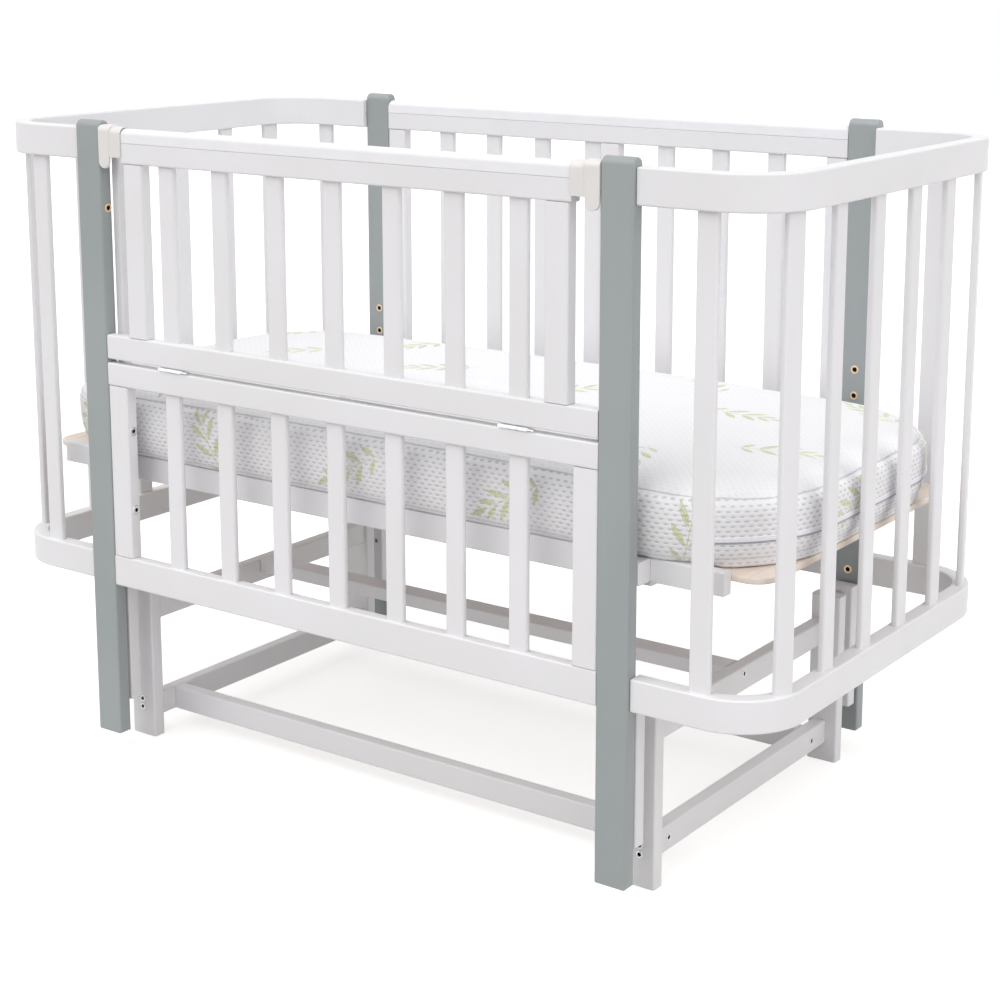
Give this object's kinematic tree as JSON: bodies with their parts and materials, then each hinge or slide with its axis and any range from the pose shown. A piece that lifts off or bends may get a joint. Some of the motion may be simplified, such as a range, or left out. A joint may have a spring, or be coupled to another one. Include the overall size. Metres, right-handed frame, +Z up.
{
  "type": "convertible crib",
  "caption": "Crib with curved slatted ends, a folding front gate with sliding latches and a mattress, hung on links from a floor stand so that it swings along its length.",
  "frame": {"origin": "on the floor, under the middle of the crib", "axes": "+X along the crib to the right, +Y to the fixed rear side, +Z up; the folding gate faces -Y"},
  "size_m": [1.25, 0.642, 0.897],
  "materials": {
    "white_paint": "satin white paint on solid beech",
    "grey_paint": "satin grey-green paint on solid beech",
    "cap_plastic": "smooth white plastic strip",
    "latch_plastic": "smooth cream plastic",
    "steel": "bright zinc plate",
    "hinge_steel": "bright zinc plate, painted over in part",
    "beech": "sanded plain beech",
    "mattress_cover": "white double knit with small grey dashes"
  },
  "bodies": {
    "stand": {"hanger_bolt_front_left": "steel", "hanger_bolt_front_right": "steel", "hanger_bolt_rear_left": "steel", "hanger_bolt_rear_right": "steel", "leg_front_left": "white_paint", "leg_front_right": "white_paint", "leg_rear_left": "white_paint", "leg_rear_right": "white_paint", "stand_lower_cross_rail_left": "white_paint", "stand_lower_cross_rail_right": "white_paint", "stand_lower_long_rail_front": "white_paint", "stand_lower_long_rail_rear": "white_paint", "stand_upper_cross_rail_left": "white_paint", "stand_upper_cross_rail_right": "white_paint", "stand_upper_long_rail": "white_paint"},
    "link_front_left": {"link_front_left": "white_paint"},
    "link_front_right": {"link_front_right": "white_paint"},
    "link_rear_left": {"link_rear_left": "white_paint"},
    "link_rear_right": {"link_rear_right": "white_paint"},
    "crib": {"carry_bolt_front_left": "steel", "carry_bolt_front_right": "steel", "carry_bolt_rear_left": "steel", "carry_bolt_rear_right": "steel", "deck_block_front_left": "white_paint", "deck_block_front_right": "white_paint", "deck_block_rear_left": "white_paint", "deck_block_rear_right": "white_paint", "deck_end_board_left": "beech", "deck_end_board_right": "beech", "deck_rail_front": "white_paint", "deck_rail_rear": "white_paint", "deck_slats": "beech", "end_slat_rail_left": "white_paint", "end_slat_rail_right": "white_paint", "end_top_rail_left": "white_paint", "end_top_rail_right": "white_paint", "hinge_leaf_fixed_left": "hinge_steel", "hinge_leaf_fixed_right": "hinge_steel", "mattress": "mattress_cover", "post_front_left": "grey_paint", "post_front_right": "grey_paint", "post_rear_left": "grey_paint", "post_rear_right": "grey_paint", "rear_cap": "cap_plastic", "rear_middle_stile": "white_paint", "rear_slat_rail": "white_paint", "rear_top_rail": "white_paint", "side_slat_rail": "white_paint", "side_stile_left": "white_paint", "side_stile_right": "white_paint", "side_top_rail": "white_paint"},
    "gate": {"gate_cap": "cap_plastic", "gate_slat_rail": "white_paint", "gate_stile_left": "white_paint", "gate_stile_right": "white_paint", "gate_top_rail": "white_paint", "hinge_leaf_gate_left": "hinge_steel", "hinge_leaf_gate_right": "hinge_steel"},
    "latch_left": {"latch_left": "latch_plastic"},
    "latch_right": {"latch_right": "latch_plastic"}
  },
  "joints": [
    {"name": "swing_front_left", "type": "hinge", "parent": "stand", "child": "link_front_left", "pos_m": [-0.423, -0.2845, 0.23], "axis": [0, 1, 0], "range_deg": [-12, 12]},
    {"name": "swing_front_right", "type": "hinge", "parent": "stand", "child": "link_front_right", "pos_m": [0.423, -0.2845, 0.23], "axis": [0, 1, 0], "range_deg": [-12, 12]},
    {"name": "swing_rear_left", "type": "hinge", "parent": "stand", "child": "link_rear_left", "pos_m": [-0.423, 0.2845, 0.23], "axis": [0, 1, 0], "range_deg": [-12, 12]},
    {"name": "swing_rear_right", "type": "hinge", "parent": "stand", "child": "link_rear_right", "pos_m": [0.423, 0.2845, 0.23], "axis": [0, 1, 0], "range_deg": [-12, 12]},
    {"name": "crib_level", "type": "hinge", "parent": "link_front_left", "child": "crib", "pos_m": [-0.423, -0.2845, 0.09], "axis": [0, 1, 0], "range_deg": [-12, 12]},
    {"name": "gate_fold", "type": "hinge", "parent": "crib", "child": "gate", "pos_m": [0, -0.3195, 0.5685], "axis": [1, 0, 0], "range_deg": [0, 178]},
    {"name": "latch_left_slide", "type": "slide", "parent": "gate", "child": "latch_left", "axis": [1, 0, 0], "range_m": [0, 0.01]},
    {"name": "latch_right_slide", "type": "slide", "parent": "gate", "child": "latch_right", "axis": [-1, 0, 0], "range_m": [0, 0.01]}
  ],
  "couplings": [
    {"joint": "crib_level", "follows": "swing_front_left", "ratio": -1},
    {"joint": "swing_front_right", "follows": "swing_front_left", "ratio": 1},
    {"joint": "swing_rear_left", "follows": "swing_front_left", "ratio": 1},
    {"joint": "swing_rear_right", "follows": "swing_front_left", "ratio": 1}
  ]
}
